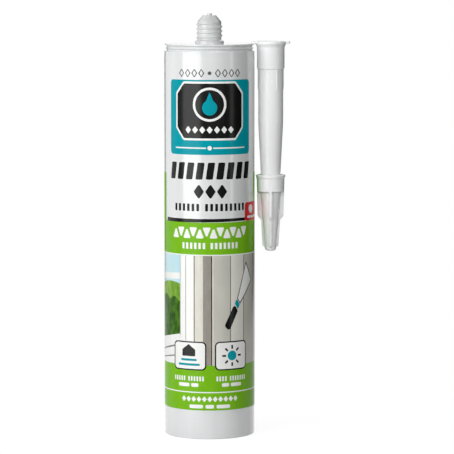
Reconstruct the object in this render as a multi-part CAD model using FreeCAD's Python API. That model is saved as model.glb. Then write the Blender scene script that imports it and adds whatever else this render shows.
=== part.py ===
import FreeCAD, Part
import math
import os

# Caulk cartridge standing on its open rear end, with its screw-on nozzle beside it, tip down and capped.
# The nozzle hangs at the cartridge's shoulder by one of its two grip wings.
# Millimetres. Z is the cartridge's axis, and the origin is the centre of its rear rim.

# Barrel
TUBE_OUTER_RADIUS = 24.75
TUBE_WALL = 1.45
BARREL_HEIGHT = 211.0
REAR_EDGE_CHAMFER = 0.4
LEAD_IN_LENGTH = 11.0
LEAD_IN_RELIEF = 0.5

# Shoulder: saw-tooth rings round its edge, and a plate that closes the barrel
RING_COUNT = 2
RING_PITCH = 1.7
RING_NOTCH_HEIGHT = 0.5
RING_DEPTH = 1.15
RING_SETBACK = 0.2
TOP_LAND_HEIGHT = 0.6
TOP_EDGE_CHAMFER = 0.2
PLATE_THICKNESS = 3.5
ROOF_CHAMFER = 2.5

# Neck: closed spout with a single-start thread
NECK_FOOT_RADIUS = 7.9
NECK_FOOT_LAND = 1.3
NECK_FOOT_HEIGHT = 2.2
NECK_ROOT_RADIUS = 6.55
NECK_STRAIGHT_HEIGHT = 12.0
NECK_CONE_HEIGHT = 3.4
NECK_END_RADIUS = 3.6
NECK_WALL = 1.3
GATE_NUB_RADIUS = 1.4
GATE_NUB_HEIGHT = 1.0
GATE_NUB_CHAMFER = 0.25
THREAD_HEIGHT = 0.6
THREAD_PITCH = 2.42
THREAD_CREST_WIDTH = 0.45
THREAD_FOOT_WIDTH = 1.7
THREAD_START = 1.9
THREAD_END = 11.9
THREAD_FADE = 0.7
THREAD_BURY = 0.2

# Printed wrap label
LABEL_THICKNESS = 0.08
LABEL_BOTTOM = 15.3
LABEL_TOP_MARGIN = 3.0

# Piston
PISTON_LENGTH = 20.0
PISTON_RECESS_GAP = 1.0
PISTON_LIP_CLEARANCE = 0.05
PISTON_LIP_LENGTH = 1.8
PISTON_WAIST_GAP = 0.9
PISTON_WALL = 1.4
PISTON_FLOOR = 1.6
PISTON_RIB_COUNT = 8
PISTON_RIB_WIDTH = 1.2
PISTON_RIB_HEIGHT = 2.4
PISTON_HUB_RADIUS = 5.0

# Sealant
SEALANT_CLEARANCE = 0.1

# Nozzle, measured down from its mouth
WING_REACH_OVER_RIM = 1.6
NOZZLE_FLANGE_RADIUS = 8.5
NOZZLE_FLANGE_HEIGHT = 1.3
NOZZLE_FLARE_END = 3.1
SOCKET_THREAD_CLEARANCE = 0.05
SOCKET_WALL = 0.35
SOCKET_LENGTH = 14.9
SOCKET_MOUTH_CHAMFER = 0.5
SOCKET_FLOOR_RISE = 1.4
WING_SPAN = 21.2
WING_WIDTH = 6.0
WING_THICKNESS = 1.2
GRIP_RIB_COUNT = 6
GRIP_RIB_WIDTH = 1.1
GRIP_RIB_HEIGHT = 0.3
GRIP_RIB_LENGTH = 11.2
GRIP_RIB_GAP = 0.3
SHAFT_RADIUS = 6.85
SHAFT_END = 44.7
TAPER_RADIUS = 4.93
TAPER_END = 82.4
TIP_RADIUS = 2.15
NOZZLE_LENGTH = 111.7
NOZZLE_WALL = 0.85

# Nozzle cap, measured up from the nozzle's tip unless it says otherwise
CAP_GRIP_CLEARANCE = 0.1
CAP_WALL = 0.7
CAP_COLLAR_HEIGHT = 9.2
CAP_MOUTH_RADIUS = 8.1
CAP_MOUTH_BAND = 1.0
CAP_COLLAR_TOP_RADIUS = 7.65
CAP_COLLAR_FOOT_RADIUS = 7.45
CAP_COLLAR_FLARE = 2.2
CAP_COLLAR_WALL = 0.8
CAP_TIP_GAP = 1.0
CAP_END_THICKNESS = 2.4
CAP_END_EASING = 1.1
FIN_COUNT = 4
FIN_THICKNESS = 1.4
FIN_SHOULDER_RADIUS = 7.1
FIN_SHOULDER_RISE = 15.7
FIN_SLOPE_HEIGHT = 2.3
FIN_WAIST_RADIUS = 5.15
FIN_FOOT_RADIUS = 4.45
FIN_FOOT_DROP = 0.5

# Sizes that follow from the ones above
TUBE_INNER_RADIUS = TUBE_OUTER_RADIUS - TUBE_WALL
LEAD_IN_RADIUS = TUBE_INNER_RADIUS + LEAD_IN_RELIEF
SHOULDER_TOP = BARREL_HEIGHT + RING_COUNT * RING_PITCH + TOP_LAND_HEIGHT
ROOF = SHOULDER_TOP - PLATE_THICKNESS
NECK_BORE_RADIUS = NECK_ROOT_RADIUS - NECK_WALL
NECK_CONE_START = SHOULDER_TOP + NECK_STRAIGHT_HEIGHT
NECK_END = NECK_CONE_START + NECK_CONE_HEIGHT
THREAD_CREST_RADIUS = NECK_ROOT_RADIUS + THREAD_HEIGHT
PISTON_REAR = LEAD_IN_LENGTH + PISTON_RECESS_GAP
PISTON_FRONT = PISTON_REAR + PISTON_LENGTH
SOCKET_RADIUS = THREAD_CREST_RADIUS + SOCKET_THREAD_CLEARANCE
NOZZLE_AXIS_X = TUBE_OUTER_RADIUS - RING_SETBACK - WING_REACH_OVER_RIM + WING_SPAN / 2
NOZZLE_MOUTH = SHOULDER_TOP + WING_THICKNESS
NOZZLE_TIP = NOZZLE_MOUTH - NOZZLE_LENGTH
CAP_COLLAR_RISE = NOZZLE_LENGTH - TAPER_END
CAP_MOUTH_RISE = CAP_COLLAR_RISE + CAP_COLLAR_HEIGHT


def outline(corners):
    """Closed wire in the XZ plane through (radius, height) corners."""
    points = [FreeCAD.Vector(radius, 0, height) for radius, height in corners]
    return Part.makePolygon(points + points[:1])


def eased(radius, height, size):
    """The corner of an outline going outwards and up, taken off in two steps instead of one."""
    return [(radius - size, height), (radius - size / 3.4, height + size / 3.4), (radius, height + size)]


def turned(corners):
    """Solid of revolution about Z, from its half section."""
    face = Part.Face(outline(corners))
    return face.revolve(FreeCAD.Vector(0, 0, 0), FreeCAD.Vector(0, 0, 1), 360)


def plate(corners, thickness):
    """Flat plate with the given outline in the XZ plane, centred on that plane."""
    face = Part.Face(outline(corners))
    face.translate(FreeCAD.Vector(0, -thickness / 2, 0))
    return face.extrude(FreeCAD.Vector(0, thickness, 0))


def ring_of(shape, count):
    """Copies of a shape, evenly spaced about Z."""
    copies = []
    for index in range(count):
        copy = shape.copy()
        copy.rotate(FreeCAD.Vector(0, 0, 0), FreeCAD.Vector(0, 0, 1), 360.0 * index / count)
        copies.append(copy)
    return copies


def along(start, end, height):
    """Radius at a height on the straight line between two (radius, height) points."""
    share = (height - start[1]) / (end[1] - start[1])
    return start[0] + share * (end[0] - start[0])


def neck_bore_corners(gap):
    """Corners of the closed neck's inside, held back by a gap, from its ceiling down to the roof."""
    slope = math.atan2(NECK_ROOT_RADIUS - NECK_END_RADIUS, NECK_CONE_HEIGHT)
    drop = (NECK_WALL + gap) / math.cos(slope)
    bore = NECK_BORE_RADIUS - gap
    ceiling = NECK_END - NECK_WALL - gap
    cone_start = (NECK_ROOT_RADIUS - drop, NECK_CONE_START)
    cone_end = (NECK_END_RADIUS - drop, NECK_END)
    per_height = (cone_start[0] - cone_end[0]) / NECK_CONE_HEIGHT
    cone_meets_bore = NECK_CONE_START + (cone_start[0] - bore) / per_height
    return [
        (0, ceiling),
        (along(cone_start, cone_end, ceiling), ceiling),
        (bore, cone_meets_bore),
        (bore, ROOF - gap),
    ]


def bevelled_top(radius, height):
    """Two corners where a side at this radius meets a flat top, bevelled as the roof is. From the side inwards."""
    return [(radius, height - ROOF_CHAMFER), (radius - ROOF_CHAMFER, height)]


def make_thread():
    """Single-start right-hand thread ridge that fades out at both ends."""
    inner = NECK_ROOT_RADIUS - THREAD_BURY
    margin = THREAD_PITCH
    start = SHOULDER_TOP + THREAD_START
    end = SHOULDER_TOP + THREAD_END
    length = end - start + 2 * margin
    helix = Part.makeHelix(THREAD_PITCH, length, inner)
    ridge = Part.makePolygon([
        FreeCAD.Vector(inner, 0, -THREAD_FOOT_WIDTH / 2),
        FreeCAD.Vector(THREAD_CREST_RADIUS, 0, -THREAD_CREST_WIDTH / 2),
        FreeCAD.Vector(THREAD_CREST_RADIUS, 0, THREAD_CREST_WIDTH / 2),
        FreeCAD.Vector(inner, 0, THREAD_FOOT_WIDTH / 2),
        FreeCAD.Vector(inner, 0, -THREAD_FOOT_WIDTH / 2),
    ])
    thread = Part.Wire(helix.Edges).makePipeShell([ridge], True, True)
    thread.translate(FreeCAD.Vector(0, 0, start - margin))
    beyond = THREAD_CREST_RADIUS + THREAD_HEIGHT
    core = inner - THREAD_BURY / 2
    fade = THREAD_FADE * (beyond - core) / THREAD_HEIGHT
    envelope = turned([(0, start), (core, start), (beyond, start + fade), (beyond, end - fade), (core, end), (0, end)])
    return thread.common(envelope)


def make_cartridge_tube():
    """Barrel, ringed shoulder and closed threaded neck, moulded in one."""
    groove = TUBE_OUTER_RADIUS - RING_SETBACK - RING_DEPTH
    crest = TUBE_OUTER_RADIUS - RING_SETBACK
    outside = [
        (LEAD_IN_RADIUS, 0),
        (TUBE_OUTER_RADIUS - REAR_EDGE_CHAMFER, 0),
        (TUBE_OUTER_RADIUS, REAR_EDGE_CHAMFER),
        (TUBE_OUTER_RADIUS, BARREL_HEIGHT),
    ]
    for ring in range(RING_COUNT):
        foot = BARREL_HEIGHT + ring * RING_PITCH
        outside.append((groove, foot + RING_NOTCH_HEIGHT))
        outside.append((crest, foot + RING_PITCH))
    outside += [
        (crest, SHOULDER_TOP - TOP_EDGE_CHAMFER),
        (crest - TOP_EDGE_CHAMFER, SHOULDER_TOP),
        (NECK_FOOT_RADIUS, SHOULDER_TOP),
        (NECK_FOOT_RADIUS, SHOULDER_TOP + NECK_FOOT_LAND),
        (NECK_ROOT_RADIUS, SHOULDER_TOP + NECK_FOOT_HEIGHT),
        (NECK_ROOT_RADIUS, NECK_CONE_START),
        (NECK_END_RADIUS, NECK_END),
        (GATE_NUB_RADIUS, NECK_END),
        (GATE_NUB_RADIUS, NECK_END + GATE_NUB_HEIGHT - GATE_NUB_CHAMFER),
        (GATE_NUB_RADIUS - GATE_NUB_CHAMFER, NECK_END + GATE_NUB_HEIGHT),
        (0, NECK_END + GATE_NUB_HEIGHT),
    ]
    inside = neck_bore_corners(0) + bevelled_top(TUBE_INNER_RADIUS, ROOF)[::-1] + [
        (TUBE_INNER_RADIUS, LEAD_IN_LENGTH),
        (LEAD_IN_RADIUS, LEAD_IN_LENGTH),
    ]
    return turned(outside + inside).fuse(make_thread())


def make_printed_label():
    """Printed film wrapped round the barrel."""
    radius = TUBE_OUTER_RADIUS + LABEL_THICKNESS
    top = BARREL_HEIGHT - LABEL_TOP_MARGIN
    return turned([
        (TUBE_OUTER_RADIUS, LABEL_BOTTOM),
        (radius, LABEL_BOTTOM),
        (radius, top),
        (TUBE_OUTER_RADIUS, top),
    ])


def make_piston():
    """Cup that the gun pushes, open to the rear, with a sealing lip at each end."""
    lip = TUBE_INNER_RADIUS - PISTON_LIP_CLEARANCE
    waist = TUBE_INNER_RADIUS - PISTON_WAIST_GAP
    hollow = waist - PISTON_WALL
    floor = PISTON_FRONT - PISTON_FLOOR
    face = bevelled_top(TUBE_INNER_RADIUS, PISTON_FRONT)
    front_lip = [(lip, face[0][1] - PISTON_LIP_LENGTH), (lip, face[0][1])]
    cup = turned([
        (hollow, PISTON_REAR),
        (lip, PISTON_REAR),
        (lip, PISTON_REAR + PISTON_LIP_LENGTH),
        (waist, PISTON_REAR + PISTON_LIP_LENGTH + PISTON_WAIST_GAP),
        (waist, front_lip[0][1] - PISTON_WAIST_GAP),
    ] + front_lip + [
        face[1],
        (0, PISTON_FRONT),
        (0, floor),
        (hollow - PISTON_WALL, floor),
        (hollow, floor - PISTON_WALL),
    ])
    rib_foot = floor - PISTON_RIB_HEIGHT
    rib = plate([
        (0, rib_foot),
        (hollow + PISTON_WALL / 2, rib_foot),
        (hollow - PISTON_WALL, floor + PISTON_FLOOR / 2),
        (0, floor + PISTON_FLOOR / 2),
    ], PISTON_RIB_WIDTH)
    hub = Part.makeCylinder(PISTON_HUB_RADIUS, PISTON_RIB_HEIGHT + PISTON_FLOOR / 2, FreeCAD.Vector(0, 0, rib_foot))
    return cup.fuse(ring_of(rib, PISTON_RIB_COUNT) + [hub]).removeSplitter()


def make_sealant():
    """The filling, from the piston's face up to the roof and into the closed neck."""
    wall = TUBE_INNER_RADIUS - SEALANT_CLEARANCE
    top = bevelled_top(wall, ROOF - SEALANT_CLEARANCE)[::-1]
    foot = bevelled_top(TUBE_INNER_RADIUS, PISTON_FRONT + 2 * SEALANT_CLEARANCE)
    lowest = (wall, foot[0][1] + SEALANT_CLEARANCE)
    return turned(neck_bore_corners(SEALANT_CLEARANCE) + top + [lowest, foot[1], (0, foot[1][1])])


def nozzle_outer_radius(depth):
    """Outer radius of the nozzle's shaft and tapers at a depth below its mouth."""
    if depth <= SHAFT_END:
        return SHAFT_RADIUS
    if depth <= TAPER_END:
        return along((SHAFT_RADIUS, SHAFT_END), (TAPER_RADIUS, TAPER_END), depth)
    return along((TAPER_RADIUS, TAPER_END), (TIP_RADIUS, NOZZLE_LENGTH), depth)


def make_nozzle():
    """Threaded socket with two grip wings, a ribbed grip and a long tapering spout, standing tip down."""
    socket = SOCKET_RADIUS + SOCKET_WALL
    channel = SHAFT_RADIUS - NOZZLE_WALL
    section = [
        (SOCKET_RADIUS + SOCKET_MOUTH_CHAMFER, 0),
        (NOZZLE_FLANGE_RADIUS, 0),
        (NOZZLE_FLANGE_RADIUS, NOZZLE_FLANGE_HEIGHT),
        (socket, NOZZLE_FLARE_END),
        (socket, SOCKET_LENGTH),
        (SHAFT_RADIUS, SOCKET_LENGTH + GRIP_RIB_GAP),
        (SHAFT_RADIUS, SHAFT_END),
        (TAPER_RADIUS, TAPER_END),
        (TIP_RADIUS, NOZZLE_LENGTH),
        (TIP_RADIUS - NOZZLE_WALL, NOZZLE_LENGTH),
        (TAPER_RADIUS - NOZZLE_WALL, TAPER_END),
        (channel, SHAFT_END),
        (channel, SOCKET_LENGTH + SOCKET_FLOOR_RISE - NOZZLE_WALL),
        (SOCKET_RADIUS, SOCKET_LENGTH - NOZZLE_WALL),
        (SOCKET_RADIUS, SOCKET_MOUTH_CHAMFER),
    ]
    body = turned([(radius, -depth) for radius, depth in section])
    rib_top = -(SOCKET_LENGTH + GRIP_RIB_GAP)
    rib_foot = rib_top - GRIP_RIB_LENGTH
    crest = SHAFT_RADIUS + GRIP_RIB_HEIGHT
    root = SHAFT_RADIUS - NOZZLE_WALL / 2
    rib = plate([
        (root, rib_top),
        (crest, rib_top),
        (crest, rib_foot + GRIP_RIB_HEIGHT),
        (SHAFT_RADIUS, rib_foot),
        (root, rib_foot),
    ], GRIP_RIB_WIDTH)
    ribs = ring_of(rib, GRIP_RIB_COUNT)
    wing_bar = Part.makeBox(WING_SPAN, WING_WIDTH, WING_THICKNESS,
                            FreeCAD.Vector(-WING_SPAN / 2, -WING_WIDTH / 2, -WING_THICKNESS))
    upright = [edge for edge in wing_bar.Edges if abs(edge.tangentAt(edge.FirstParameter).z) > 0.5]
    wing_bar = wing_bar.makeFillet(WING_WIDTH / 4, upright)
    wings = wing_bar.cut(Part.makeCylinder(NOZZLE_FLANGE_RADIUS - SOCKET_WALL, 3 * WING_THICKNESS,
                                           FreeCAD.Vector(0, 0, -2 * WING_THICKNESS)))
    nozzle = body.fuse(ribs + [wings]).removeSplitter()
    nozzle.translate(FreeCAD.Vector(NOZZLE_AXIS_X, 0, NOZZLE_MOUTH))
    return nozzle


def cap_inner_radius(rise):
    """Radius of the cap's gripping cone at a height above the nozzle's tip."""
    return nozzle_outer_radius(NOZZLE_LENGTH - rise) + CAP_GRIP_CLEARANCE


def make_nozzle_cap():
    """Push-on cap: flared collar, hollow cone that grips the spout, and four fins down to a rounded end."""
    collar_foot = CAP_COLLAR_RISE
    collar_floor = collar_foot + CAP_COLLAR_WALL
    collar_inner = CAP_COLLAR_FOOT_RADIUS - CAP_COLLAR_WALL
    tip_inner = cap_inner_radius(0)
    end = -CAP_TIP_GAP - CAP_END_THICKNESS
    cone = turned([(0, end)] + eased(tip_inner + CAP_WALL, end, CAP_END_EASING) + [
        (cap_inner_radius(collar_foot) + CAP_WALL, collar_foot),
        (CAP_COLLAR_FOOT_RADIUS, collar_foot),
        (CAP_COLLAR_TOP_RADIUS, CAP_MOUTH_RISE - CAP_COLLAR_FLARE),
        (CAP_MOUTH_RADIUS, CAP_MOUTH_RISE - CAP_MOUTH_BAND),
        (CAP_MOUTH_RADIUS, CAP_MOUTH_RISE),
        (CAP_MOUTH_RADIUS - CAP_COLLAR_WALL, CAP_MOUTH_RISE),
        (collar_inner, CAP_MOUTH_RISE - CAP_COLLAR_FLARE),
        (collar_inner, collar_floor),
        (cap_inner_radius(collar_floor), collar_floor),
        (tip_inner, 0),
        (tip_inner, -CAP_TIP_GAP),
        (0, -CAP_TIP_GAP),
    ])
    fin = plate([
        (tip_inner + CAP_WALL / 2, end + CAP_END_EASING),
        (FIN_FOOT_RADIUS, -FIN_FOOT_DROP),
        (FIN_WAIST_RADIUS, FIN_SHOULDER_RISE - FIN_SLOPE_HEIGHT),
        (FIN_SHOULDER_RADIUS, FIN_SHOULDER_RISE),
        (CAP_COLLAR_FOOT_RADIUS, collar_foot),
        (CAP_COLLAR_FOOT_RADIUS - CAP_COLLAR_WALL / 2, collar_foot + CAP_COLLAR_WALL / 2),
        (cap_inner_radius(collar_foot) + CAP_WALL / 2, collar_foot + CAP_COLLAR_WALL / 2),
    ], FIN_THICKNESS)
    cap = cone.fuse(ring_of(fin, FIN_COUNT)).removeSplitter()
    cap.translate(FreeCAD.Vector(NOZZLE_AXIS_X, 0, NOZZLE_TIP))
    return cap


PARTS = {
    "cartridge_tube": make_cartridge_tube,
    "printed_label": make_printed_label,
    "piston": make_piston,
    "sealant": make_sealant,
    "nozzle": make_nozzle,
    "nozzle_cap": make_nozzle_cap,
}

os.makedirs("parts", exist_ok=True)
for name, make in PARTS.items():
    shape = make()
    if shape.ShapeType == "Compound" and len(shape.Solids) == 1:
        shape = shape.Solids[0]
    box = shape.BoundBox
    size = [round(length, 2) for length in (box.XLength, box.YLength, box.ZLength)]
    print(name, len(shape.Solids), "solid", "valid" if shape.isValid() else "invalid", round(shape.Volume, 1), size)
    shape.exportStep("parts/" + name + ".step")
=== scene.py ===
import math

import bmesh
import bpy
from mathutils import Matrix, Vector
from mathutils.geometry import tessellate_polygon


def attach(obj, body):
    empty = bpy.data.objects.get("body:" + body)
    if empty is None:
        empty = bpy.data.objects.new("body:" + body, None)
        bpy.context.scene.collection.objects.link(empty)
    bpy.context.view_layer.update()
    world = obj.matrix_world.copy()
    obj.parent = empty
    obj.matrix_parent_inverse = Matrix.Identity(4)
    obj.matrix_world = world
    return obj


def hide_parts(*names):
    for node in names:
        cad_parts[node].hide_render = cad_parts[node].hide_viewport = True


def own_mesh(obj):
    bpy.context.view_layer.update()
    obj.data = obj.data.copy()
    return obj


# Caulk cartridge with its nozzle beside it, tip down and capped. Shapes are written in millimetres.
# Angles round the cartridge are in degrees from the front of the label, positive towards the nozzle.

MM = 0.001
TUBE_RADIUS = 24.75
FILM_RADIUS = 24.83
FILM_BOTTOM = 15.3
FILM_TOP = 208.0
INK_STEP = 0.02
INK_DEPTH = 0.03
MM_PER_DEGREE = TUBE_RADIUS * math.pi / 180
STRIP_WIDTH = 0.9
ROUND_SEGMENTS = 192
SHARP_ANGLE = math.radians(32)
NOZZLE_X = 33.55
NOZZLE_MOUTH = 216.2
NOZZLE_TIP = 104.5

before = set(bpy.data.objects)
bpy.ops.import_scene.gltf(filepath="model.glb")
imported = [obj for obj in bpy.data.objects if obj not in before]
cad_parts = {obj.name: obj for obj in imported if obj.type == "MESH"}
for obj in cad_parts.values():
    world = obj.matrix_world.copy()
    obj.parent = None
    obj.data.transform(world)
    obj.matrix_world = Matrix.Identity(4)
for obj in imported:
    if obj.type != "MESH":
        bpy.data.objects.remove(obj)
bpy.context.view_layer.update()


# Shapes

# The share of a side that a rounded corner may take, and how far past its arc a guard point lies
LONGEST_EASE = 0.45
GUARD_LENGTH = 0.12
GUARD_SHARE = 0.04
ON_AXIS = 1e-6
# At a ridge's ends: the share of the fade that it starts at, and its thickness as a share of the full
LEAST_FADE = 0.04
THIN_END = 0.4
RIDGE_SHARP_ANGLE = math.radians(50)


def new_object(name, mesh):
    """Object in the scene for a mesh."""
    piece = bpy.data.objects.new(name, mesh)
    bpy.context.scene.collection.objects.link(piece)
    return piece


def finish_mesh(name, build, sharp=SHARP_ANGLE):
    """Object from a bmesh, smooth apart from its sharp edges."""
    bmesh.ops.recalc_face_normals(build, faces=build.faces[:])
    mesh = bpy.data.meshes.new(name)
    build.to_mesh(mesh)
    build.free()
    mesh.polygons.foreach_set("use_smooth", [True] * len(mesh.polygons))
    mesh.set_sharp_from_angle(angle=sharp)
    return new_object(name, mesh)


def rounded(corners, steps=4):
    """Outline whose corners, given as (x, y) or (x, y, radius), are rounded with short arcs."""
    points = []
    for index, corner in enumerate(corners):
        here = Vector(corner[:2])
        radius = corner[2] if len(corner) > 2 else 0
        if radius == 0:
            points.append((here.x, here.y))
            continue
        before = Vector(corners[index - 1][:2]) - here
        after = Vector(corners[(index + 1) % len(corners)][:2]) - here
        half = before.angle(after) / 2
        reach = min(radius / math.tan(half), before.length * LONGEST_EASE, after.length * LONGEST_EASE)
        middle = (before.normalized() + after.normalized()).normalized()
        centre = here + middle * reach / math.cos(half)
        start = here + before.normalized() * reach
        end = here + after.normalized() * reach
        # A point just outside each end of the arc keeps the shading of the straight sides flat
        guard_before = start + before.normalized() * min(GUARD_LENGTH, before.length * GUARD_SHARE)
        guard_after = end + after.normalized() * min(GUARD_LENGTH, after.length * GUARD_SHARE)
        points.append((guard_before.x, guard_before.y))
        for step in range(steps + 1):
            arm = (start - centre).lerp(end - centre, step / steps)
            arm = arm.normalized() * (start - centre).length
            points.append((centre.x + arm.x, centre.y + arm.y))
        points.append((guard_after.x, guard_after.y))
    return points


def lathe(name, outline, centre_x=0.0, base_z=0.0, segments=ROUND_SEGMENTS):
    """Closed solid of revolution about a vertical axis, from its (radius, height) outline."""
    build = bmesh.new()
    rings = []
    for radius, height in outline:
        if radius < ON_AXIS:
            rings.append([build.verts.new((centre_x * MM, 0, (base_z + height) * MM))])
            continue
        ring = []
        for step in range(segments):
            angle = 2 * math.pi * step / segments
            ring.append(build.verts.new((
                (centre_x + radius * math.cos(angle)) * MM,
                radius * math.sin(angle) * MM,
                (base_z + height) * MM,
            )))
        rings.append(ring)
    for index, lower in enumerate(rings):
        upper = rings[(index + 1) % len(rings)]
        if len(lower) == 1 and len(upper) == 1:
            continue
        for step in range(segments):
            after = (step + 1) % segments
            if len(lower) == 1:
                build.faces.new((lower[0], upper[step], upper[after]))
            elif len(upper) == 1:
                build.faces.new((lower[step], lower[after], upper[0]))
            else:
                build.faces.new((lower[step], lower[after], upper[after], upper[step]))
    return finish_mesh(name, build)


def plate(name, corners, thickness, edge, centre_x=0.0, base_z=0.0, turn=0.0):
    """Upright flat plate with eased edges. Its outline is (distance from a vertical axis, height)."""
    build = bmesh.new()
    front = [build.verts.new((x * MM, -thickness / 2 * MM, z * MM)) for x, z in corners]
    back = [build.verts.new((x * MM, thickness / 2 * MM, z * MM)) for x, z in corners]
    build.faces.new(front)
    build.faces.new(back[::-1])
    count = len(corners)
    for index in range(count):
        after = (index + 1) % count
        build.faces.new((front[index], back[index], back[after], front[after]))
    bmesh.ops.recalc_face_normals(build, faces=build.faces[:])
    bmesh.ops.bevel(build, geom=build.edges[:], offset=edge * MM, segments=2, profile=0.5,
                    affect="EDGES", clamp_overlap=True)
    cos, sin = math.cos(turn), math.sin(turn)
    for vert in build.verts:
        x, y, z = vert.co
        vert.co = (x * cos - y * sin + centre_x * MM, x * sin + y * cos, z + base_z * MM)
    return finish_mesh(name, build)


def joined(name, first, others):
    """One closed mesh from overlapping closed ones."""
    for other in others:
        cut = first.modifiers.new("join", "BOOLEAN")
        cut.operation = "UNION"
        cut.solver = "EXACT"
        cut.object = other
    bpy.context.view_layer.update()
    evaluated = first.evaluated_get(bpy.context.evaluated_depsgraph_get())
    mesh = bpy.data.meshes.new_from_object(evaluated)
    mesh.name = name
    for old in [first] + others:
        bpy.data.objects.remove(old, do_unlink=True)
    mesh.polygons.foreach_set("use_smooth", [True] * len(mesh.polygons))
    mesh.set_sharp_from_angle(angle=SHARP_ANGLE)
    return new_object(name, mesh)


def helical_ridge(name, centre_x, start_z, end_z, pitch, phase, section, fade, per_turn=96):
    """Ridge along a right-hand helix, faded at both ends, from a section of (radius, height) corners."""
    build = bmesh.new()
    turns = (end_z - start_z) / pitch
    steps = int(turns * per_turn)
    foot = section[0][0]
    rings = []
    for step in range(steps + 1):
        rise = (end_z - start_z) * step / steps
        near_end = min(rise, end_z - start_z - rise)
        grown = 0.5 - 0.5 * math.cos(math.pi * min(1.0, near_end / fade + LEAST_FADE))
        angle = phase + 2 * math.pi * rise / pitch
        ring = []
        for radius, height in section:
            reach = foot + (radius - foot) * grown
            ring.append(build.verts.new((
                (centre_x + reach * math.cos(angle)) * MM,
                reach * math.sin(angle) * MM,
                (start_z + rise + height * (THIN_END + (1 - THIN_END) * grown)) * MM,
            )))
        rings.append(ring)
    count = len(section)
    for lower, upper in zip(rings, rings[1:]):
        for index in range(count):
            after = (index + 1) % count
            build.faces.new((lower[index], lower[after], upper[after], upper[index]))
    build.faces.new(rings[0])
    build.faces.new(rings[-1][::-1])
    return finish_mesh(name, build, RIDGE_SHARP_ANGLE)


# Materials

# The noise's usual limits, and how gloss and relief follow from a surface's roughness and grain
NOISE_LOW = 0.3
NOISE_HIGH = 0.7
WEAR_SCALE = 2.3
WEAR_LOW = 0.9
WEAR_HIGH = 1.12
RELIEF_SCALE = 1.4
RELIEF_STRENGTH = 0.6
INK_SHADE = 0.93
INK_ROUGHNESS = 0.21
INK_RELIEF = 0.004


def linear(red, green, blue):
    """Scene-linear colour from 8-bit display values."""
    parts = []
    for value in (red, green, blue):
        share = value / 255
        parts.append(share / 12.92 if share <= 0.04045 else ((share + 0.055) / 1.055) ** 2.4)
    return (*parts, 1.0)


def noise_node(tree, scale, detail, stretch=(1, 1, 1)):
    """Noise over the object's own coordinates, in metres."""
    nodes, links = tree.nodes, tree.links
    place = nodes.new("ShaderNodeTexCoord")
    mapping = nodes.new("ShaderNodeMapping")
    mapping.inputs["Scale"].default_value = stretch
    noise = nodes.new("ShaderNodeTexNoise")
    noise.inputs["Scale"].default_value = scale
    noise.inputs["Detail"].default_value = detail
    links.new(place.outputs["Object"], mapping.inputs["Vector"])
    links.new(mapping.outputs["Vector"], noise.inputs["Vector"])
    return noise


def spread(tree, noise, low, high):
    """A number that varies with the noise between two limits."""
    reach = tree.nodes.new("ShaderNodeMapRange")
    reach.inputs["From Min"].default_value = NOISE_LOW
    reach.inputs["From Max"].default_value = NOISE_HIGH
    reach.inputs["To Min"].default_value = low
    reach.inputs["To Max"].default_value = high
    tree.links.new(noise.outputs["Fac"], reach.inputs["Value"])
    return reach


def surface(name, colour, second, grain, roughness, bump_height, stretch=(1, 1, 1), **values):
    """Plastic, ink or paste: two close colours, uneven gloss and a faint relief, all from noise."""
    material = bpy.data.materials.new(name)
    material.use_nodes = True
    tree = material.node_tree
    nodes, links = tree.nodes, tree.links
    shader = nodes["Principled BSDF"]
    shader.inputs["Base Color"].default_value = colour
    shader.inputs["Roughness"].default_value = roughness
    for socket, value in values.items():
        shader.inputs[socket.replace("_", " ")].default_value = value
    patches = noise_node(tree, grain, 4, stretch)
    blend = nodes.new("ShaderNodeMix")
    blend.data_type = "RGBA"
    blend.inputs["A"].default_value = colour
    blend.inputs["B"].default_value = second
    links.new(spread(tree, patches, 0, 1).outputs["Result"], blend.inputs["Factor"])
    links.new(blend.outputs["Result"], shader.inputs["Base Color"])
    worn = noise_node(tree, grain * WEAR_SCALE, 3, stretch)
    gloss = spread(tree, worn, roughness * WEAR_LOW, roughness * WEAR_HIGH)
    links.new(gloss.outputs["Result"], shader.inputs["Roughness"])
    relief = noise_node(tree, grain * RELIEF_SCALE, 3, stretch)
    bump = nodes.new("ShaderNodeBump")
    bump.inputs["Strength"].default_value = RELIEF_STRENGTH
    bump.inputs["Distance"].default_value = bump_height * MM
    links.new(relief.outputs["Fac"], bump.inputs["Height"])
    links.new(bump.outputs["Normal"], shader.inputs["Normal"])
    return material


def ink(name, colour, second=None, grain=260, specular=0.3):
    """Printed ink, less glossy than the film it lies on."""
    shade = second or tuple(value * INK_SHADE for value in colour[:3]) + (1.0,)
    return surface(name, colour, shade, grain, INK_ROUGHNESS, INK_RELIEF, (1, 1, 0.5),
                   Specular_IOR_Level=specular)


WHITE = linear(226, 228, 228)
GREEN = linear(122, 186, 32)
TEAL = linear(0, 154, 168)
BLACK = linear(12, 14, 12)

COATED = {"Coat_Weight": 0.9, "Coat_Roughness": 0.07}
MILKY = {"Subsurface_Weight": 0.5, "Subsurface_Radius": (1, 1, 1), "Subsurface_Scale": 0.0008}

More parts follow.
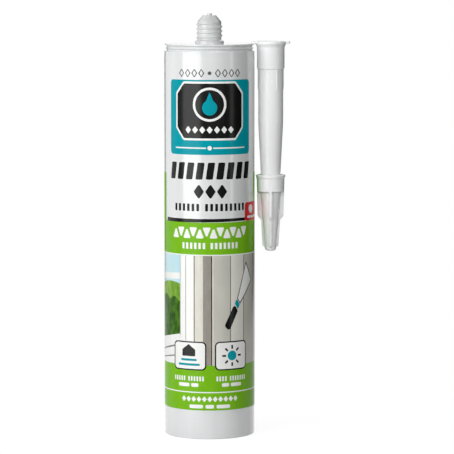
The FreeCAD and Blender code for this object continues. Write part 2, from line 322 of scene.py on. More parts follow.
tube_plastic = surface(
    "tube_plastic", linear(225, 227, 227), linear(219, 221, 222), 150, 0.2, 0.008, (1, 1, 0.12), **COATED)
# The neck is the same moulding as the tube: its darker colour is painted shade, and its coat is glossier
neck_plastic_painted_shade = surface(
    "neck_plastic_painted_shade", linear(209, 211, 211), linear(200, 202, 202), 240, 0.2, 0.012, (1, 1, 0.5),
    Coat_Weight=1.0, Coat_Roughness=0.05)
film_white = surface("film_white", WHITE, linear(221, 223, 223), 120, 0.2, 0.004, (1, 1, 0.2), **COATED)
ink_green = ink("ink_green", GREEN, linear(116, 180, 26), specular=0.1)
ink_teal = ink("ink_teal", TEAL, specular=0.12)
ink_black = ink("ink_black", BLACK, linear(17, 18, 17))
ink_white = ink("ink_white", linear(244, 244, 241), linear(238, 239, 236))
ink_grey = ink("ink_grey", linear(126, 130, 128))
ink_outline = ink("ink_outline", linear(84, 86, 86))
ink_red = ink("ink_red", linear(214, 34, 40))
ink_sky = ink("ink_sky", linear(172, 218, 230), linear(206, 232, 236), 60)
ink_foliage = ink("ink_foliage", linear(22, 66, 10), linear(78, 124, 34), 420, 0.1)
ink_hill = ink("ink_hill", linear(142, 184, 66), linear(92, 142, 40), 300, 0.12)
ink_beige = ink("ink_beige", linear(224, 221, 210), linear(214, 210, 198), 300)
ink_taupe = ink("ink_taupe", linear(154, 149, 141), linear(144, 138, 130), 300)
ink_wall = ink("ink_wall", linear(203, 202, 192), linear(192, 190, 180), 90)
ink_board = ink("ink_board", linear(228, 227, 217), linear(218, 217, 206), 90)
ink_groove = ink("ink_groove", linear(120, 114, 104), linear(104, 98, 90), 300)
nozzle_plastic = surface(
    "nozzle_plastic", linear(251, 252, 252), linear(248, 250, 250), 180, 0.26, 0.008, (1, 1, 0.2),
    **MILKY)
cap_plastic = surface(
    "cap_plastic", linear(250, 251, 251), linear(245, 247, 247), 180, 0.28, 0.01, (1, 1, 0.2),
    **MILKY)
piston_plastic = surface(
    "piston_plastic", linear(224, 224, 220), linear(214, 214, 209), 140, 0.45, 0.02)
sealant_paste = surface(
    "sealant_paste", linear(150, 152, 151), linear(140, 142, 141), 90, 0.4, 0.05,
    Subsurface_Weight=0.1, Subsurface_Radius=(1, 1, 1), Subsurface_Scale=0.002)


def dress(piece, material, body):
    """Gives a piece its material and the body it moves with."""
    piece.data.materials.clear()
    piece.data.materials.append(material)
    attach(piece, body)
    return piece


# Printed film and its inks

NO_AREA = 1e-9
CUT_TOLERANCE = 1e-5
DISC_STEPS = 40
DROP_STEPS = 28

# Shares of a bar's height, a mark's smaller side, its width, a line's width and a fence bar's width
BAR_EASE = 0.3
MARK_EASE = 0.12
SLANT = 0.25
LINE_INSET = 1.3
BAR_STEP = 1.8
GROUP_STEP = 1.4

# Where the print lies: sides and middles as angles, and heights
LABEL_MIDDLE = 0.5
BACK_MIDDLE = 180
EMBLEM_HEIGHT = 182.8
BACK_EMBLEM_HEIGHT = 172
PICTURE_LEFT = -96
PICTURE_RIGHT = 98
PICTURE_BOTTOM = 40.7
PICTURE_TOP = 100.6
GROUND_RIGHT = -20.5
GROUND_BOTTOM = 40.6
SUN_ANGLE = 29.8
SUN_HEIGHT = 45.8


def on_tube(across, height, radius):
    """Point on the wrapped film from a distance along it and a height, both in millimetres."""
    angle = across / TUBE_RADIUS
    return Vector((radius * math.sin(angle) * MM, -radius * math.cos(angle) * MM, height * MM))


def outwards(across):
    """Direction straight out of the film at a distance along it."""
    return on_tube(across, 0, 1).normalized()


def flat_sheet(loops):
    """Corners and faces of a flat shape, all turned one way and cut into strips that bend well."""
    build = bmesh.new()
    flat = [[Vector((across, height, 0)) for across, height in loop] for loop in loops]
    verts = [build.verts.new(point) for loop in flat for point in loop]
    for triangle in tessellate_polygon(flat):
        a, b, c = [verts[index] for index in triangle]
        turn = (b.co - a.co).cross(c.co - a.co).z
        if abs(turn) > NO_AREA:
            build.faces.new((a, b, c) if turn > 0 else (a, c, b))
    across = [vert.co.x for vert in verts]
    first = math.floor(min(across) / STRIP_WIDTH) + 1
    last = math.ceil(max(across) / STRIP_WIDTH)
    for strip in range(first, last):
        everything = build.verts[:] + build.edges[:] + build.faces[:]
        bmesh.ops.bisect_plane(build, geom=everything, dist=CUT_TOLERANCE,
                               plane_co=(strip * STRIP_WIDTH, 0, 0), plane_no=(1, 0, 0))
    build.verts.index_update()
    points = [(vert.co.x, vert.co.y) for vert in build.verts]
    faces = [[vert.index for vert in face.verts] for face in build.faces]
    build.free()
    return points, faces


def decal(name, shapes, layer, material):
    """Thin inked patches wrapped round the tube. A shape is the loop of its edge, then of its holes."""
    outer = FILM_RADIUS + INK_STEP * layer
    verts, faces, normals = [], [], []
    for loops in shapes:
        points, sheet = flat_sheet(loops)
        top, under = len(verts), len(verts) + len(points)
        verts += [on_tube(across, height, outer) for across, height in points]
        verts += [on_tube(across, height, outer - INK_DEPTH) for across, height in points]
        sides = set()
        for face in sheet:
            faces.append([top + index for index in face])
            faces.append([under + index for index in reversed(face)])
            normals += [outwards(points[index][0]) for index in face]
            normals += [-outwards(points[index][0]) for index in reversed(face)]
            sides.update(zip(face, face[1:] + face[:1]))
        for a, b in sides:
            if (b, a) not in sides:
                faces.append([under + a, under + b, top + b, top + a])
                along = on_tube(*points[b], outer) - on_tube(*points[a], outer)
                facing = along.cross(outwards(points[a][0])).normalized()
                normals += [facing] * 4
    mesh = bpy.data.meshes.new(name)
    mesh.from_pydata(verts, [], faces)
    mesh.polygons.foreach_set("use_smooth", [True] * len(mesh.polygons))
    mesh.normals_split_custom_set(normals)
    piece = new_object(name, mesh)
    return dress(piece, material, "cartridge")


def at(degrees):
    """Distance along the film for an angle."""
    return degrees * MM_PER_DEGREE


def box(left, right, bottom, top, radius=0.0):
    """Rectangle with rounded corners, its sides given as angles."""
    return [rounded([
        (at(left), bottom, radius),
        (at(right), bottom, radius),
        (at(right), top, radius),
        (at(left), top, radius),
    ])]


def shape(points, radius=0.0):
    """Shape from (angle, height) corners."""
    return [rounded([(at(angle), height, radius) for angle, height in points])]


def disc(angle, height, radius):
    """Round shape."""
    turn = 2 * math.pi / DISC_STEPS
    return [[(at(angle) + radius * math.cos(turn * step), height + radius * math.sin(turn * step))
             for step in range(DISC_STEPS)]]


def ring(angle, height, radius, width):
    """Round frame."""
    return disc(angle, height, radius) + disc(angle, height, radius - width)


def bars(left, right, bottom, top, widths, space):
    """Row of round-ended bars in the given proportions, filling the space between two angles."""
    total = sum(widths) + space * (len(widths) - 1)
    unit = (right - left) / total
    ease = (top - bottom) * BAR_EASE
    row = []
    x = left
    for width in widths:
        row.append(box(x, x + width * unit, bottom, top, ease))
        x += (width + space) * unit
    return row


def slanted(start, end, width):
    """Straight bar between two (angle, height) points, with square ends."""
    a = Vector((at(start[0]), start[1]))
    b = Vector((at(end[0]), end[1]))
    side = (b - a).normalized().orthogonal() * width / 2
    return [[tuple(a + side), tuple(b + side), tuple(b - side), tuple(a - side)]]


def band(name, bottom, top, layer, material):
    """Inked band all round the film."""
    outer = FILM_RADIUS + INK_STEP * layer
    corners = [(outer - INK_DEPTH, bottom), (outer, bottom), (outer, top), (outer - INK_DEPTH, top)]
    return dress(lathe(name, corners), material, "cartridge")


def mark(kind, x, y, wide, tall):
    """Plain solid shape in a box whose lower left corner is (x, y), in millimetres."""
    mid, top, right = x + wide / 2, y + tall, x + wide
    corners = {
        "bar": [(x, y), (right, y), (right, top), (x, top)],
        "triangle": [(x, y), (right, y), (mid, top)],
        "wedge": [(mid, y), (right, top), (x, top)],
        "diamond": [(mid, y), (right, y + tall / 2), (mid, top), (x, y + tall / 2)],
        "slant": [(x, y), (right - wide * SLANT, y), (right, top), (x + wide * SLANT, top)],
    }[kind]
    ease = min(wide, tall) * MARK_EASE
    return [rounded([(*corner, ease) for corner in corners], steps=3)]


def hollow(kind, x, y, wide, tall, line):
    """Outline of a plain shape, drawn with a line about this wide."""
    inset = line * LINE_INSET
    inside = mark(kind, x + inset, y + inset, wide - 2 * inset, tall - 2 * inset)
    return mark(kind, x, y, wide, tall) + inside


def frieze(left, right, bottom, top, kinds, space):
    """Row of plain shapes between two angles, with a space between them in millimetres."""
    wide = (at(right) - at(left) - space * (len(kinds) - 1)) / len(kinds)
    return [mark(kind, at(left) + index * (wide + space), bottom, wide, top - bottom)
            for index, kind in enumerate(kinds)]


def fence(left, right, bottom, top, groups):
    """Groups of equal upright bars between two angles, with a wider space between groups."""
    total = sum(groups) * BAR_STEP + (len(groups) - 1) * GROUP_STEP - (BAR_STEP - 1)
    wide = (at(right) - at(left)) / total
    row = []
    x = at(left)
    for count in groups:
        for step in range(count):
            row.append(mark("bar", x, bottom, wide, top - bottom))
            x += BAR_STEP * wide
        x += GROUP_STEP * wide
    return row


def ground(height_at, steps):
    """Ground seen in the window, under a line that runs from its right edge to its left."""
    outline = [(PICTURE_LEFT, GROUND_BOTTOM), (GROUND_RIGHT, GROUND_BOTTOM)]
    for step in range(steps + 1):
        share = step / steps
        outline.append((GROUND_RIGHT + (PICTURE_LEFT - GROUND_RIGHT) * share, height_at(share)))
    return shape(outline)


film = lathe("wrap_film", rounded([
    (TUBE_RADIUS, FILM_BOTTOM),
    (FILM_RADIUS, FILM_BOTTOM, 0.03),
    (FILM_RADIUS, FILM_TOP, 0.03),
    (TUBE_RADIUS, FILM_TOP),
]))
dress(film, film_white, "cartridge")
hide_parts("printed_label")

band("green_wrap", 15.9, 118.8, 1, ink_green)
decal("green_back", [box(74, 289, 118.8, 144.9)], 1, ink_green)

# Colour row: outlined diamonds either side of a dot
diamonds = []
for side in (-1, 1):
    for step in (1, 2, 3, 4):
        x = at(LABEL_MIDDLE) + side * step * 3.9 - 1.7 + side * 0.6
        diamonds.append(hollow("diamond", x, 197.2, 3.4, 5.0, 0.55))
decal("colour_row", diamonds + [disc(LABEL_MIDDLE, 199.7, 1.0)], 1, ink_outline)

# Emblem block
decal("emblem_field", [box(-57, 60, 155.6, 196.1, 2.0)], 1, ink_teal)
panel = [
    (-46, 170), (-46, 189), (-34, 195.2), (35, 195.2),
    (47, 189), (47, 170), (35, 163.4), (-34, 163.4),
]
decal("emblem_keyline", [shape(panel, 1.6)], 2, ink_white)
inner = [
    (-43.7, 170.5), (-43.7, 188.4), (-33.2, 194.1), (34.2, 194.1),
    (44.7, 188.4), (44.7, 170.5), (34.2, 164.5), (-33.2, 164.5),
]
decal("emblem_panel", [shape(inner, 1.3)], 3, ink_black)
decal("emblem_ring", [ring(LABEL_MIDDLE, EMBLEM_HEIGHT, 9.2, 1.3)], 4, ink_white)
drop = []
for step in range(DROP_STEPS + 1):
    turn = math.radians(-240 + 300 * step / DROP_STEPS)
    drop.append((at(LABEL_MIDDLE) + 4.1 * math.cos(turn), 181.0 + 4.1 * math.sin(turn)))
drop.append((at(LABEL_MIDDLE), 189.4))
decal("emblem_drop", [[drop]], 4, ink_teal)
decal("emblem_row", frieze(-31, 32, 167.0, 171.2, ["diamond"] * 7, 0.7), 4, ink_white)
decal("emblem_line", [box(-47, -4, 158.9, 159.6), box(5, 50, 158.9, 159.6)], 2, ink_white)
decal("emblem_dot", [disc(LABEL_MIDDLE, 159.25, 1.2)], 2, ink_white)

# Heading
decal("heading_one", frieze(-57, 60, 142.2, 151.4, ["slant"] * 9, 0.5), 1, ink_black)
decal("heading_two", frieze(-20, 23, 131.4, 139.8, ["diamond"] * 3, 0.6), 1, ink_black)
decal("heading_small", fence(-48, 49, 125.0, 129.0, [6, 9]), 1, ink_black)
decal("badge", [box(51, 97, 118.9, 129.0, 1.6)], 3, ink_red)
decal("badge_marks", [disc(65, 125.3, 2.3), box(56, 90, 120.4, 121.6, 0.4)], 4, ink_white)
decal("rule_line", [shape([(-67, 118.6), (52, 119.3), (52, 120.9), (-67, 120.7)])], 2, ink_black)

# Green band with its captions
decal("caption_one", frieze(-52, 54, 110.2, 116.2, ["triangle", "wedge"] * 6, -0.9), 2, ink_white)
decal("caption_two", fence(-36, 38, 104.4, 107.8, [6, 7]), 2, ink_white)
decal("picture_edge", [box(PICTURE_LEFT, PICTURE_RIGHT, 100.7, 101.3)], 2, ink_white)

# Picture: a window on to a hill and a wood, and a boarded wall with a putty knife
decal("picture_wall", [box(4, PICTURE_RIGHT, 40.5, 100.7)], 2, ink_wall)
decal("picture_sky", [box(PICTURE_LEFT, -20, 40.5, 100.7)], 2, ink_sky)
hill = ground(lambda share: 80 + 6 * math.sin(2.6 * share + 0.3), 24)
decal("picture_hill", [hill], 3, ink_hill)
wood = ground(lambda share: 74 + 3 * share + 2.6 * abs(math.sin(12 * share)), 40)
decal("picture_wood", [wood], 4, ink_foliage)
decal("window_frame", [
    box(-40, -20, PICTURE_BOTTOM, PICTURE_TOP),
    shape([(PICTURE_LEFT, 86), (-40.2, 87.5), (-40.2, 91), (PICTURE_LEFT, 89.5)]),
    shape([(PICTURE_LEFT, PICTURE_BOTTOM), (-40.2, PICTURE_BOTTOM), (-40.2, 57.5), (PICTURE_LEFT, 53)]),
], 5, ink_white)
decal("window_lines", [
    box(-31.5, -30.7, 54, PICTURE_TOP),
    box(-39.8, -39.2, 57, PICTURE_TOP),
    shape([(PICTURE_LEFT, 45.6), (-31, 52.0), (-31, 53.0), (PICTURE_LEFT, 46.5)]),
    shape([(PICTURE_LEFT, 41.6), (-42, 45.4), (-42, 46.1), (PICTURE_LEFT, 42.3)]),
], 6, ink_grey)
for label, left, right, material in (
    ("edge", -20, -18.6, ink_groove),
    ("light", -18.6, -8, ink_beige),
    ("dark", -8, 2.4, ink_taupe),
    ("line", 2.4, 3.6, ink_black),
    ("rim", 3.6, 5.4, ink_beige),
):
    decal("jamb_" + label, [box(left, right, PICTURE_BOTTOM, PICTURE_TOP)], 5, material)
decal("board_light", [box(27.5, 48.5, PICTURE_BOTTOM, PICTURE_TOP)], 3, ink_board)
grooves = [box(angle, angle + 1.1, 40.8, 100.5) for angle in (27, 48, 70, 91)]
decal("board_grooves", grooves, 4, ink_groove)
decal("knife_handle", [shape([(19.5, 62.3), (25.5, 59.2), (38.5, 70.2), (33, 74)], 1.5)], 5, ink_black)
decal("knife_collar", [shape([(33.8, 74.2), (38.6, 70.8), (41.4, 73.4), (36.8, 76.8)], 0.4)], 6, ink_teal)
decal("knife_edge", [shape([(37.2, 77.0), (41.8, 73.5), (66.2, 86.2), (52.8, 97.4)], 0.5)], 5, ink_grey)
decal("knife_blade", [shape([(38.8, 77.0), (41.8, 74.8), (64.0, 86.3), (52.9, 95.6)], 0.4)], 6, ink_white)

# Two tiles with pictograms
for label, left, right in (("left", -48, -5.4), ("right", 8.6, 51)):
    decal("tile_edge_" + label, [box(left - 1.6, right + 1.6, 37.9, 53.7, 2.4)], 7, ink_black)
    decal("tile_" + label, [box(left, right, 38.6, 53.0, 1.9)], 8, ink_white)
decal("tile_waves", [box(-42, -12, 40.4, 41.6, 0.5), box(-38, -16, 43.0, 44.2, 0.5)], 9, ink_teal)
house = [(-36, 45.6), (-36, 49.2), (-27, 52.2), (-18, 49.2), (-18, 45.6)]
decal("tile_house", [shape(house, 0.3)], 9, ink_black)
decal("tile_sun", [disc(SUN_ANGLE, SUN_HEIGHT, 2.7)], 9, ink_teal)
rays = []
for step in range(8):
    turn = math.pi * step / 4
    ends = [(SUN_ANGLE + reach * math.cos(turn) / MM_PER_DEGREE, SUN_HEIGHT + reach * math.sin(turn))
            for reach in (3.7, 5.8)]
    rays.append(slanted(*ends, 1.0))
decal("tile_rays", rays, 9, ink_black)

# Foot of the label
foot_left = fence(-49, -7, 32.0, 34.6, [5, 6]) + bars(-42, -14, 28.8, 30.8, [5, 3], 0.8)
decal("foot_left", foot_left, 2, ink_white)
foot_right = fence(9, 51, 32.0, 34.6, [4, 7]) + bars(16, 44, 28.8, 30.8, [3, 5], 0.8)
decal("foot_right", foot_right, 2, ink_white)
band("foot_line", 25.5, 26.1, 2, ink_white)
decal("foot_rows", frieze(-37, 38, 20.4, 23.8, ["diamond"] * 11, 0.3), 2, ink_white)
decal("foot_bars", bars(-26, 27, 17.0, 19.0, [5, 3, 5], 0.9), 2, ink_white)

# Back of the label
decal("back_panel", [box(132, 228, 60, 98, 1.5)], 2, ink_white)
rows = []
for index in range(9):
    height = 94.0 - index * 3.6
    rows += bars(137, 223 - (index * 37 % 23), height - 1.1, height, [7, 4, 9, 5, 8], 0.9)
decal("back_rows", rows, 3, ink_grey)
decal("code_panel", [box(150, 210, 24, 46, 1.0)], 2, ink_white)
stripes = []
x = 154.0
for index in range(26):
    width = (0.7, 1.2, 0.5, 1.6)[(index * 7 + index // 3) % 4]
    stripes.append(box(x, x + width, 27, 43))
    x += width + (0.9, 0.6, 1.3)[(index * 5) % 3]
decal("code_stripes", stripes, 3, ink_black)
heading = bars(140, 220, 104, 108.6, [8, 5, 10], 1.3) + bars(150, 210, 111, 114.4, [5, 7, 4], 1.3)
decal("back_heading", heading, 2, ink_white)
decal("back_emblem", [box(146, 214, 158, 186, 1.6)], 1, ink_teal)
decal("back_emblem_panel", [box(150, 210, 160, 184, 1.2)], 2, ink_black)
decal("back_emblem_ring", [ring(BACK_MIDDLE, BACK_EMBLEM_HEIGHT, 7.4, 1.1)], 3, ink_white)
back_drop = []
for across, height in drop:
    back_drop.append((
        across - at(LABEL_MIDDLE) + at(BACK_MIDDLE),
        (height - EMBLEM_HEIGHT) * 0.8 + BACK_EMBLEM_HEIGHT,
    ))
decal("back_emblem_drop", [[back_drop]], 3, ink_teal)


# Cartridge

NECK_FOOT = 215.1
NECK_REACH = 8
NECK_THREAD_START = 217.15
NECK_THREAD_END = 226.65
CAD_THREAD_FOOT = 214.48
THREAD_PITCH = 2.42
THREAD_FADE = 0.9

tube = lathe("tube_moulding", rounded([
    (23.8, 0, 0.15),
    (24.75, 0, 0.35),
    (24.75, 211, 0.15),
    (23.4, 211.5, 0.12),
    (24.55, 212.7, 0.12),
    (23.4, 213.2, 0.12),
    (24.55, 214.4, 0.1),
    (24.55, 215, 0.25),
    (7.9, 215, 0.15),
    (7.9, 216.3, 0.2),
    (6.55, 217.2, 0.25),
    (6.55, 227.0, 0.3),
    (3.6, 230.4, 0.4),
    (1.4, 230.4, 0.2),
    (1.4, 231.4, 0.25),
    (0, 231.4),
    (0, 229.1),
    (3.01, 229.1, 0.3),
    (5.25, 226.51, 0.3),
    (5.25, 211.5, 0.4),
    (20.8, 211.5, 0.8),
    (23.3, 209, 0.8),
    (23.3, 11, 0.1),
    (23.8, 11, 0.1),
]))
dress(tube, tube_plastic, "cartridge")
tube.data.materials.append(neck_plastic_painted_shade)
# Faces above the shoulder and near the axis are the neck's, and take its darker colour, which is painted
# shade
for face in tube.data.polygons:
    if face.center.z > NECK_FOOT * MM and face.center.xy.length < NECK_REACH * MM:
        face.material_index = 1
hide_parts("cartridge_tube")

neck_section = [
    (6.35, -0.85), (6.62, -0.66), (6.98, -0.4), (7.12, -0.25), (7.15, -0.1),
    (7.15, 0.1), (7.12, 0.25), (6.98, 0.4), (6.62, 0.66), (6.35, 0.85),
]
# The thread ridge takes the neck's darker colour, which is painted shade
thread = helical_ridge(
    "neck_thread_ridge", 0, NECK_THREAD_START, NECK_THREAD_END, THREAD_PITCH,
    2 * math.pi * (NECK_THREAD_START - CAD_THREAD_FOOT) / THREAD_PITCH, neck_section, THREAD_FADE)
dress(thread, neck_plastic_painted_shade, "cartridge")

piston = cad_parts["piston"]
piston.material_slots[0].material = piston_plastic

# The filling shrinks towards the roof ahead of the piston, and its plug in the closed neck stays.
SEALANT_TOP = 211.4
SEALANT_FOOT = 32.2
filling = lathe("sealant_filling", [
    (0, SEALANT_FOOT),
    (20.8, SEALANT_FOOT),
    (23.2, 29.8),
    (23.2, 208.9),
    (20.7, SEALANT_TOP),
    (0, SEALANT_TOP),
])
dress(filling, sealant_paste, "cartridge")
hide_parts("sealant")
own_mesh(filling)
plug = lathe("sealant_neck_plug", rounded([
    (0, 211.2),
    (5.15, 211.2),
    (5.15, 226.4, 0.3),
    (2.9, 229.0, 0.3),
    (0, 229.0),
]), segments=96)
dress(plug, sealant_paste, "cartridge")


# Nozzle

SLIM_SEGMENTS = 144
WING_BOTTOM = NOZZLE_MOUTH - 1.2
WING_TOP = NOZZLE_MOUTH - 0.02
LEVEL_TOLERANCE = 1e-7

nozzle_outline = rounded([
    (7.7, 0, 0.12),
    (8.5, 0, 0.25),
    (8.5, -1.3, 0.3),
    (7.55, -3.1, 0.6),
    (7.55, -14.9, 0.25),
    (6.85, -15.2, 0.2),
    (6.85, -44.7, 6),
    (4.93, -82.4, 6),
    (2.15, -111.7, 0.2),
    (1.3, -111.7, 0.15),
    (4.08, -82.4, 6),
    (6.0, -44.7, 6),
    (6.0, -15.45, 0.4),
    (7.2, -14.05, 0.4),
    (7.2, -0.5, 0.2),
])
nozzle_core = lathe("nozzle_core", nozzle_outline, NOZZLE_X, NOZZLE_MOUTH, SLIM_SEGMENTS)
rib = [(6.4, -14.6), (7.15, -14.6), (7.15, -26.1), (6.85, -26.4), (6.4, -26.4)]
nozzle_adds = []
for index in range(6):
    turn = math.radians(60 * index)
    nozzle_adds.append(plate("grip_rib", rib, 1.1, 0.14, NOZZLE_X, NOZZLE_MOUTH, turn))
for side in (1, -1):
    build = bmesh.new()
    corners = rounded([
        (side * 7.75, -2.4),
        (side * 7.75, 2.4),
        (side * 8.1, 3.0),
        (side * 10.6, 3.0, 1.5),
        (side * 10.6, -3.0, 1.5),
        (side * 8.1, -3.0),
    ], steps=6)
    low = [build.verts.new(((NOZZLE_X + x) * MM, y * MM, WING_BOTTOM * MM)) for x, y in corners]
    face = build.faces.new(low)
    lifted = bmesh.ops.extrude_face_region(build, geom=[face])
    for item in lifted["geom"]:
        if isinstance(item, bmesh.types.BMVert):
            item.co.z = WING_TOP * MM
    bmesh.ops.recalc_face_normals(build, faces=build.faces[:])
    level = [edge for edge in build.edges
             if abs(edge.verts[0].co.z - edge.verts[1].co.z) < LEVEL_TOLERANCE]
    bmesh.ops.bevel(build, geom=level, offset=0.2 * MM, segments=3, profile=0.5,
                    affect="EDGES", clamp_overlap=True)
    nozzle_adds.append(finish_mesh("wing", build))
nozzle = joined("nozzle_moulding", nozzle_core, nozzle_adds)
dress(nozzle, nozzle_plastic, "cartridge")
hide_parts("nozzle")

socket_section = [(7.32, -0.6), (7.2, -0.5), (6.85, -0.2), (6.85, 0.2), (7.2, 0.5), (7.32, 0.6)]
socket_thread = helical_ridge(
    "socket_thread_ridge", NOZZLE_X, NOZZLE_MOUTH - 13.2, NOZZLE_MOUTH - 1.2, THREAD_PITCH,
    0.4, socket_section, THREAD_FADE)
dress(socket_thread, nozzle_plastic, "cartridge")


# Cap

cap_core = lathe("cap_core", rounded([
    (0, -3.4),
    (2.95, -3.4, 1.1),
    (5.73, 29.3, 0.3),
    (7.45, 29.3, 0.3),
    (7.65, 36.3, 1.0),
    (8.1, 37.5, 0.3),
    (8.1, 38.5, 0.3),
    (7.3, 38.5, 0.25),
    (6.65, 36.3, 0.8),
    (6.65, 30.1, 0.4),
    (5.07, 30.1, 0.3),
    (2.25, 0, 0.3),
    (2.25, -1, 0.3),
    (0, -1),
], steps=5), NOZZLE_X, NOZZLE_TIP, SLIM_SEGMENTS)
fin = [(2.5, -2.35), (4.45, -0.5), (5.15, 13.4), (7.1, 15.7), (7.45, 29.5), (7.05, 29.7), (5.38, 29.7)]
cap_fins = []
for index in range(4):
    turn = math.radians(90 * index)
    cap_fins.append(plate("cap_fin", fin, 1.4, 0.22, NOZZLE_X, NOZZLE_TIP, turn))
cap = joined("cap_moulding", cap_core, cap_fins)
dress(cap, cap_plastic, "cap")
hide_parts("nozzle_cap")


# Floor, light and camera

# Lengths are in metres here, the camera's tilt is in radians below level, and its lens in millimetres
FLOOR_RADIUS = 1.6
FLOOR_DROP = 0.0001
FLOOR_GREY = 0.2
FLOOR_GLOW = 0.88
FADE_START = 0.05
FADE_END = 0.2
AIM_HEIGHT = 0.12
FLAG_HEIGHT = 0.6
FLAG_BLACK = 0.02
CAMERA_LENS = 219.48
CAMERA_PLACE = (0.0096, -1.5167, 0.2643)
CAMERA_TILT = 0.09875


def maths(tree, operation, first, second):
    """Output of a Math node, whose two inputs are sockets or numbers."""
    node = tree.nodes.new("ShaderNodeMath")
    node.operation = operation
    for index, value in enumerate((first, second)):
        if isinstance(value, float):
            node.inputs[index].default_value = value
        else:
            tree.links.new(value, node.inputs[index])
    return node.outputs["Value"]


def eased(tree, value, start, end, low=0.0, high=1.0):
    """Output that goes smoothly from low to high as a value goes from start to end."""
    node = tree.nodes.new("ShaderNodeMapRange")
    node.interpolation_type = "SMOOTHSTEP"
    node.inputs["From Min"].default_value = start
    node.inputs["From Max"].default_value = end
    node.inputs["To Min"].default_value = low
    node.inputs["To Max"].default_value = high
    tree.links.new(value, node.inputs["Value"])
    return node.outputs["Result"]


def seen_directly(tree):
    """1 for rays from the camera and those that gloss or clear plastic sends on, and 0 for the rest."""
    path = tree.nodes.new("ShaderNodeLightPath")
    total = path.outputs["Is Camera Ray"]
    for kind in ("Is Glossy Ray", "Is Transmission Ray"):
        total = maths(tree, "MAXIMUM", total, path.outputs[kind])
    return total


def make_floor():
    """Pale floor that fades into the white background, keeping the object's shadow."""
    bpy.ops.mesh.primitive_circle_add(
        vertices=96, radius=FLOOR_RADIUS, fill_type="NGON", location=(0, 0, -FLOOR_DROP))
    floor = bpy.context.object
    floor.name = "floor"
    material = bpy.data.materials.new("floor")
    material.use_nodes = True
    tree = material.node_tree
    nodes, links = tree.nodes, tree.links
    nodes.clear()
    output = nodes.new("ShaderNodeOutputMaterial")
    place = nodes.new("ShaderNodeTexCoord")
    length = nodes.new("ShaderNodeVectorMath")
    length.operation = "LENGTH"
    links.new(place.outputs["Object"], length.inputs[0])
    plain = nodes.new("ShaderNodeBsdfDiffuse")
    plain.inputs["Color"].default_value = (FLOOR_GREY, FLOOR_GREY, FLOOR_GREY, 1)
    glow = nodes.new("ShaderNodeEmission")
    links.new(maths(tree, "MULTIPLY", seen_directly(tree), FLOOR_GLOW), glow.inputs["Strength"])
    both = nodes.new("ShaderNodeAddShader")
    links.new(plain.outputs["BSDF"], both.inputs[0])
    links.new(glow.outputs["Emission"], both.inputs[1])
    clear = nodes.new("ShaderNodeBsdfTransparent")
    mix = nodes.new("ShaderNodeMixShader")
    links.new(eased(tree, length.outputs["Value"], FADE_START, FADE_END), mix.inputs["Fac"])
    links.new(both.outputs["Shader"], mix.inputs[1])
    links.new(clear.outputs["BSDF"], mix.inputs[2])
    links.new(mix.outputs["Shader"], output.inputs["Surface"])
    floor.data.materials.append(material)


def make_world():
    """White background, and a soft light that is stronger from the left than from the right."""
    world = bpy.data.worlds.new("studio")
    bpy.context.scene.world = world
    world.use_nodes = True
    tree = world.node_tree
    nodes, links = tree.nodes, tree.links
    nodes.clear()
    output = nodes.new("ShaderNodeOutputWorld")
    place = nodes.new("ShaderNodeTexCoord")
    parts = nodes.new("ShaderNodeSeparateXYZ")
    links.new(place.outputs["Generated"], parts.inputs["Vector"])
    side = eased(tree, parts.outputs["X"], -0.8, 0.9, 0.6, 0.08)
    behind = eased(tree, parts.outputs["Y"], -0.2, 0.8, 1.0, 0.3)
    above = eased(tree, parts.outputs["Z"], -0.5, 0.7, 0.3, 1.0)
    level = maths(tree, "MULTIPLY", maths(tree, "MULTIPLY", side, behind), above)
    # The camera sees white all round, and gloss and clear plastic only in the half behind the object
    backdrop = eased(tree, parts.outputs["Y"], -0.1, 0.2)
    reached = maths(tree, "MULTIPLY", seen_directly(tree), backdrop)
    path = nodes.new("ShaderNodeLightPath")
    white = maths(tree, "MAXIMUM", path.outputs["Is Camera Ray"], reached)
    strength = nodes.new("ShaderNodeMix")
    strength.data_type = "FLOAT"
    strength.inputs["B"].default_value = 1.0
    links.new(white, strength.inputs["Factor"])
    links.new(level, strength.inputs["A"])
    background = nodes.new("ShaderNodeBackground")
    background.inputs["Color"].default_value = (1, 1, 1, 1)
    links.new(strength.outputs["Result"], background.inputs["Strength"])
    links.new(background.outputs["Background"], output.inputs["Surface"])


def around(azimuth, distance):
    """Place in plan at a distance and an azimuth in degrees from the front, positive to the right."""
    turn = math.radians(azimuth)
    return distance * math.sin(turn), -distance * math.cos(turn)


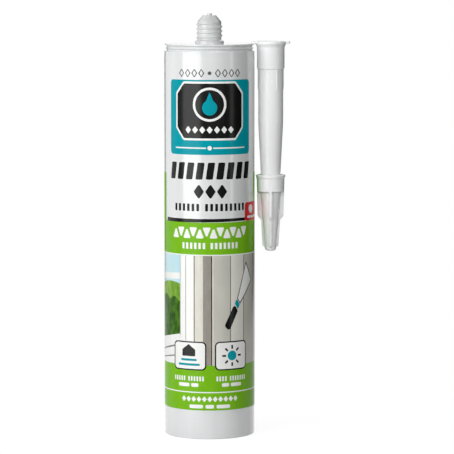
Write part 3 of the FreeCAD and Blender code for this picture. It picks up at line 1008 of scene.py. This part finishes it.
def area_light(name, azimuth, distance, height, width, tall, radiance):
    """Softbox aimed at the object, whose face shows this radiance."""
    light = bpy.data.lights.new(name, "AREA")
    light.shape = "RECTANGLE"
    light.size = width
    light.size_y = tall
    light.energy = radiance * math.pi * width * tall
    lamp = bpy.data.objects.new(name, light)
    bpy.context.scene.collection.objects.link(lamp)
    lamp.location = (*around(azimuth, distance), height)
    aim = Vector((0, 0, AIM_HEIGHT)) - lamp.location
    lamp.rotation_euler = aim.to_track_quat("-Z", "Y").to_euler()
    return lamp


def flag(name, start, end):
    """Upright black card between two (azimuth, distance) places, hidden from the camera."""
    corners = [around(*start), around(*end)]
    verts = [(x, y, z) for z in (0.0, FLAG_HEIGHT) for x, y in corners]
    mesh = bpy.data.meshes.new(name)
    mesh.from_pydata(verts, [], [(0, 1, 3, 2)])
    card = new_object(name, mesh)
    material = bpy.data.materials.new(name)
    material.use_nodes = True
    shader = material.node_tree.nodes["Principled BSDF"]
    shader.inputs["Base Color"].default_value = (FLAG_BLACK, FLAG_BLACK, FLAG_BLACK, 1)
    shader.inputs["Roughness"].default_value = 0.9
    card.data.materials.append(material)
    card.visible_camera = False


def make_camera():
    """The photograph's view."""
    camera = bpy.data.cameras.new("camera")
    camera.lens = CAMERA_LENS
    camera.sensor_width = 36
    camera.clip_start = 0.05
    holder = bpy.data.objects.new("camera", camera)
    bpy.context.scene.collection.objects.link(holder)
    holder.location = CAMERA_PLACE
    holder.rotation_euler = (math.pi / 2 - CAMERA_TILT, 0, 0)
    bpy.context.scene.camera = holder


make_floor()
make_world()
area_light("key", azimuth=-46, distance=1.0, height=0.42, width=0.98, tall=1.2, radiance=2.6)
area_light("front", azimuth=16, distance=1.2, height=0.5, width=0.9, tall=0.5, radiance=3.9)
area_light("fill", azimuth=58, distance=1.1, height=0.3, width=0.16, tall=0.9, radiance=1.6)
back = area_light("back", azimuth=172, distance=1.2, height=0.5, width=0.9, tall=0.9, radiance=4.6)
back.visible_camera = False
back.visible_glossy = False
flag("flag_right", (72, 0.5), (162, 0.8))
flag("flag_left", (-146, 0.5), (-163, 0.8))
make_camera()
bpy.context.scene.view_settings.view_transform = "Standard"
